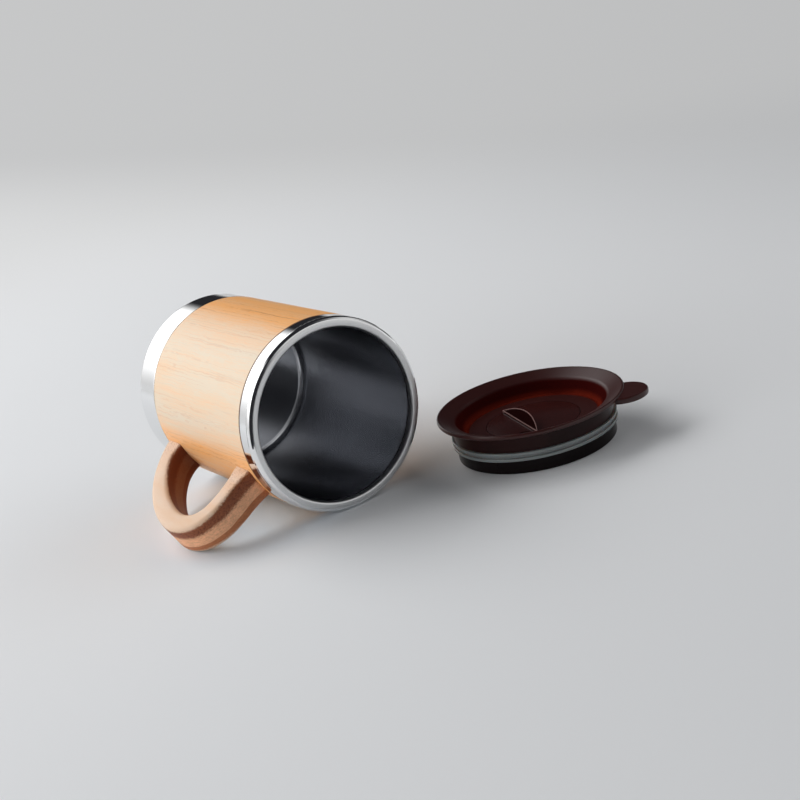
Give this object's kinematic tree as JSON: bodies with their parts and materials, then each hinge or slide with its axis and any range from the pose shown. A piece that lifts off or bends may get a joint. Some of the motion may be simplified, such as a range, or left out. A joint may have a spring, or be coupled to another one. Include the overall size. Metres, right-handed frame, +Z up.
{
  "type": "mug",
  "caption": "Double-walled steel mug with a bamboo sleeve and handle, lying on its side, and a push-in plastic lid with a turning sip disc.",
  "frame": {"origin": "on the floor, at the centre of the bounding box of the lying cup and its lid", "axes": "+Z up from the floor that the cup and its lid lie on; the cup's mouth faces -Y and its base +Y; the handle is on the -X side and the lid on the +X side"},
  "size_m": [0.2024, 0.174, 0.085],
  "materials": {
    "polished_steel": "mirror polished",
    "satin_steel": "satin",
    "screw_steel": "plain",
    "bamboo": "fine sanded, oiled",
    "bamboo_board": "sanded, rounded edges",
    "lid_brown": "satin gloss, slightly translucent",
    "lid_dark": "gloss",
    "silicone": "translucent silicone",
    "clip_plastic": "plain"
  },
  "bodies": {
    "cup": {"inner_cup": "satin_steel", "outer_shell": "polished_steel", "shell_floor": "satin_steel", "base_cap": "polished_steel", "bamboo_sleeve": "bamboo", "handle": "bamboo_board", "handle_screws": "screw_steel"},
    "lid": {"lid_cover": "lid_brown", "lid_plug": "lid_dark", "lid_gasket": "silicone", "sip_seal": "silicone"},
    "sip_closure": {"sip_disc": "lid_brown", "disc_clip": "clip_plastic"}
  },
  "joints": [
    {"name": "lid_lift", "type": "slide", "parent": "cup", "child": "lid", "axis": [0, 0, 1], "range_m": [0, 0.12]},
    {"name": "disc_turn", "type": "hinge", "parent": "lid", "child": "sip_closure", "pos_m": [0.05871, -0.04348, 0.0095], "axis": [0, 0, -1], "range_deg": [0, 90]}
  ]
}
